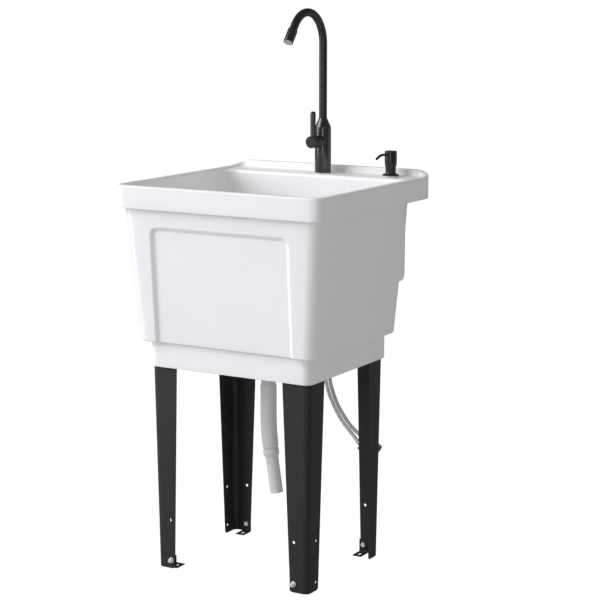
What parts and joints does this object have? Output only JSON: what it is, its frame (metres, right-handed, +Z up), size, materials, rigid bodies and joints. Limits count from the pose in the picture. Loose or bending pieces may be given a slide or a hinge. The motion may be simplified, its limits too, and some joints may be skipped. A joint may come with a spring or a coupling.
{
  "type": "free-standing laundry tub with mixer and soap pump",
  "caption": "Free-standing white moulded laundry tub on tapered angle-steel legs, with a black high-arc mixer, a soap pump, a bent drain pipe and supply hoses.",
  "frame": {"origin": "on the floor under the middle of the tub's rim", "axes": "+X to the right as seen by the user, -Y is the front where the user stands, +Z up"},
  "size_m": [0.528, 0.518, 1.2583],
  "materials": {
    "white_moulding": "satin",
    "white_fitting": "satin",
    "grey_pipe": "satin",
    "milky_plastic": "translucent",
    "black_plastic": "matt",
    "black_steel": "powder coated, semi-matt",
    "black_metal": "matt",
    "zinc": "zinc plated",
    "polished_steel": "polished",
    "nickel": "nickel plated",
    "brass": "turned",
    "seal_rubber": "matt",
    "braid": "woven braid"
  },
  "bodies": {
    "tub_frame": {"tub": "white_moulding", "front_left_leg": "black_steel", "front_right_leg": "black_steel", "back_left_leg": "black_steel", "back_right_leg": "black_steel", "front_left_foot": "black_steel", "front_right_foot": "black_steel", "back_left_foot": "black_steel", "back_right_foot": "black_steel", "foot_bolts": "zinc", "foot_nuts": "zinc", "foot_washers": "zinc", "strainer": "polished_steel", "drain_seal_ring": "seal_rubber", "drain_locknut": "white_fitting", "tailpiece": "white_fitting", "slip_washer": "seal_rubber", "slip_nut": "white_fitting", "drain_pipe": "grey_pipe", "drain_coupling": "grey_pipe", "drain_outlet": "grey_pipe", "mixer_body": "black_metal", "mixer_seal_ring": "seal_rubber", "shank": "brass", "shank_washer_ring": "seal_rubber", "shank_nut": "brass", "cartridge": "milky_plastic", "cartridge_ring": "brass", "hot_hose": "braid", "cold_hose": "braid", "hose_sleeves": "nickel", "hose_nuts": "nickel", "pump_base": "black_plastic", "pump_seal_ring": "seal_rubber", "pump_nut": "black_plastic", "pump_barrel": "milky_plastic", "suction_tube": "milky_plastic", "soap_bottle": "milky_plastic"},
    "spout_arm": {"spout_collar": "black_metal", "spout": "black_metal", "outlet_sleeve": "black_metal", "outlet_insert": "zinc"},
    "stem": {"mixer_stem": "brass"},
    "lever": {"lever_cap": "black_metal", "lever_rod": "black_metal", "set_screw": "zinc"},
    "pump_plunger": {"pump_stem": "milky_plastic"},
    "pump_cap": {"pump_head": "black_metal", "pump_nozzle": "black_metal"},
    "basket": {"strainer_basket": "polished_steel"}
  },
  "joints": [
    {"name": "spout_swivel", "type": "hinge", "parent": "tub_frame", "child": "spout_arm", "pos_m": [0, 0.212, 0.9825], "axis": [0, 0, 1], "continuous": true},
    {"name": "lever_turn", "type": "hinge", "parent": "tub_frame", "child": "stem", "pos_m": [0, 0.177, 0.9523], "axis": [0, 1, 0], "range_deg": [-45, 45]},
    {"name": "lever_tilt", "type": "hinge", "parent": "stem", "child": "lever", "pos_m": [0, 0.172, 0.9523], "axis": [1, 0, 0], "range_deg": [0, 20]},
    {"name": "pump_press", "type": "slide", "parent": "tub_frame", "child": "pump_plunger", "axis": [0, 0, -1], "range_m": [0, 0.012], "stiffness_N_per_m": 400, "springref_m": -0.012},
    {"name": "head_turn", "type": "hinge", "parent": "pump_plunger", "child": "pump_cap", "pos_m": [0.178, 0.214, 0.9], "axis": [0, 0, 1], "continuous": true},
    {"name": "basket_lift", "type": "slide", "parent": "tub_frame", "child": "basket", "axis": [0, 0, 1], "range_m": [0, 0.03]}
  ]
}
